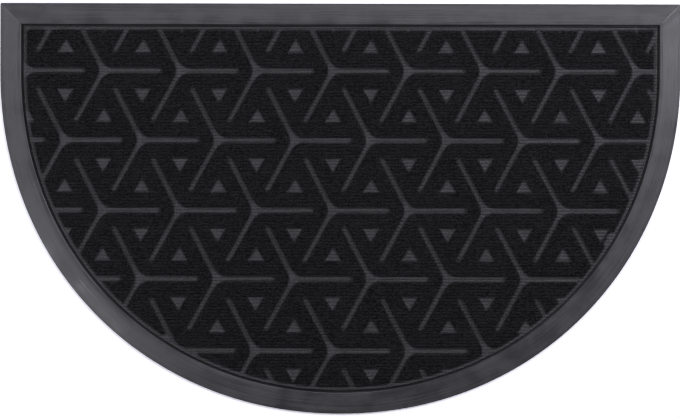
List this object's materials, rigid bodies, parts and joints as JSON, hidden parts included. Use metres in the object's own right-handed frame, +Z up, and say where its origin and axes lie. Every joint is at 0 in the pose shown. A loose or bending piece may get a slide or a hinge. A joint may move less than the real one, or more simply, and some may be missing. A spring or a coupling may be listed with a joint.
{
  "type": "half-round rubber doormat",
  "caption": "Flat half-round doormat: a moulded rubber base with a bevelled border, mitred at its back corners, round a carpet insert pressed with a grooved geometric pattern.",
  "frame": {"origin": "on the floor, at the middle of the mat's bounding box", "axes": "+X along the straight back edge, to the right as seen from above with that edge away; +Y from the round front to the straight back; +Z up"},
  "size_m": [0.75, 0.452, 0.008],
  "materials": {
    "rubber": "black moulded rubber, satin, with faint lengthwise flow streaks on the bevelled border",
    "carpet": "near-black needled carpet with fine ribs, its pressed grooves and margin flatter, greyer and slightly glossy"
  },
  "bodies": {
    "root": {"rubber_base": "rubber", "carpet_insert": "carpet"}
  },
  "joints": []
}
